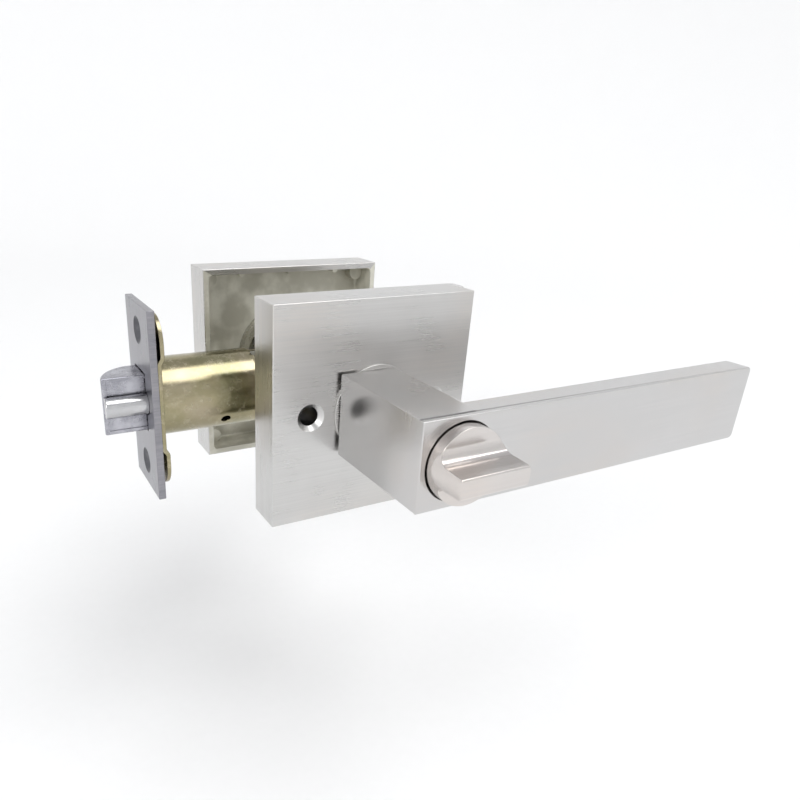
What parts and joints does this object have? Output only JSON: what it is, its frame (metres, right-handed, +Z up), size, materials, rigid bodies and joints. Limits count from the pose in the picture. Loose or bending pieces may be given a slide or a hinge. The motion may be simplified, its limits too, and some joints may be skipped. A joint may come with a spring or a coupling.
{
  "type": "door lever handle",
  "caption": "Square-rose privacy door lever set: L-shaped levers on both sides, a thumb turn in the inner lever, and a tubular spring latch with faceplate.",
  "frame": {"origin": "on the spindle axis, midway between the door's two faces", "axes": "+Z up; +X from the spindle towards the lever tips; -X towards the door edge and the latch bolt; -Y towards the thumb-turn side"},
  "size_m": [0.1865, 0.1654, 0.066],
  "materials": {
    "satin_nickel": "satin nickel plate, finely brushed",
    "turn_nickel": "satin nickel with a buffed scoop",
    "plate_steel": "plain rolled steel, slightly lavender",
    "yellow_zinc": "yellow zinc plate, glossy and mottled",
    "bolt_zinc": "grey die casting, tumbled",
    "plunger_chrome": "bright plated",
    "cup_zinc": "plain zinc casting",
    "inner_steel": "clear zinc plate",
    "spring_steel": "oiled spring wire",
    "black_steel": "black oxide",
    "follower_zinc": "sintered follower"
  },
  "bodies": {
    "set_base": {"inside_rose": "satin_nickel", "outside_rose": "satin_nickel", "inside_collar": "satin_nickel", "outside_collar": "satin_nickel", "inside_spring_cup": "cup_zinc", "outside_spring_cup": "cup_zinc", "inside_cup_screws": "inner_steel", "outside_cup_screws": "inner_steel", "inside_return_spring": "spring_steel", "outside_return_spring": "spring_steel", "faceplate": "plate_steel", "backing_plate": "yellow_zinc", "latch_case": "yellow_zinc", "case_rivets": "yellow_zinc", "bolt_spring": "spring_steel", "plunger_spring": "spring_steel"},
    "inside_handle": {"inside_lever": "satin_nickel", "inside_set_screw": "black_steel", "inside_drive_plate": "black_steel", "inside_washer": "inner_steel", "inside_circlip": "black_steel", "spindle": "inner_steel", "follower": "follower_zinc"},
    "outside_handle": {"outside_lever": "satin_nickel", "outside_set_screw": "black_steel", "outside_drive_plate": "black_steel", "outside_washer": "inner_steel", "outside_circlip": "black_steel"},
    "privacy_turn": {"thumb_turn": "turn_nickel", "turn_clip": "black_steel", "lock_rod": "inner_steel"},
    "bolt": {"latch_bolt": "bolt_zinc"},
    "deadlatch": {"plunger": "plunger_chrome"},
    "bolt_puller": {"retractor": "inner_steel"}
  },
  "joints": [
    {"name": "inside_lever_turn", "type": "hinge", "parent": "set_base", "child": "inside_handle", "pos_m": [0, 0, 0], "axis": [0, 1, 0], "range_deg": [0, 60], "stiffness_Nm_per_rad": 0.6, "springref_deg": -40.11, "deforming": ["inside_return_spring"]},
    {"name": "outside_lever_turn", "type": "hinge", "parent": "set_base", "child": "outside_handle", "pos_m": [0, 0, 0], "axis": [0, 1, 0], "range_deg": [0, 60], "stiffness_Nm_per_rad": 0.6, "springref_deg": -40.11, "deforming": ["outside_return_spring"]},
    {"name": "thumb_turn_turn", "type": "hinge", "parent": "inside_handle", "child": "privacy_turn", "pos_m": [0, -0.07, 0], "axis": [0, -1, 0], "range_deg": [0, 90]},
    {"name": "bolt_slide", "type": "slide", "parent": "set_base", "child": "bolt", "axis": [1, 0, 0], "range_m": [0, 0.012], "stiffness_N_per_m": 300, "springref_m": -0.008, "deforming": ["bolt_spring"]},
    {"name": "retractor_slide", "type": "slide", "parent": "set_base", "child": "bolt_puller", "axis": [1, 0, 0], "range_m": [0, 0.012]},
    {"name": "plunger_slide", "type": "slide", "parent": "bolt", "child": "deadlatch", "axis": [1, 0, 0], "range_m": [0, 0.011], "stiffness_N_per_m": 120, "springref_m": -0.008, "deforming": ["plunger_spring"]}
  ],
  "couplings": [
    {"joint": "outside_lever_turn", "follows": "inside_lever_turn", "ratio": 1},
    {"joint": "bolt_slide", "follows": "inside_lever_turn", "m_per_rad": 0.01145},
    {"joint": "retractor_slide", "follows": "inside_lever_turn", "m_per_rad": 0.01145}
  ]
}
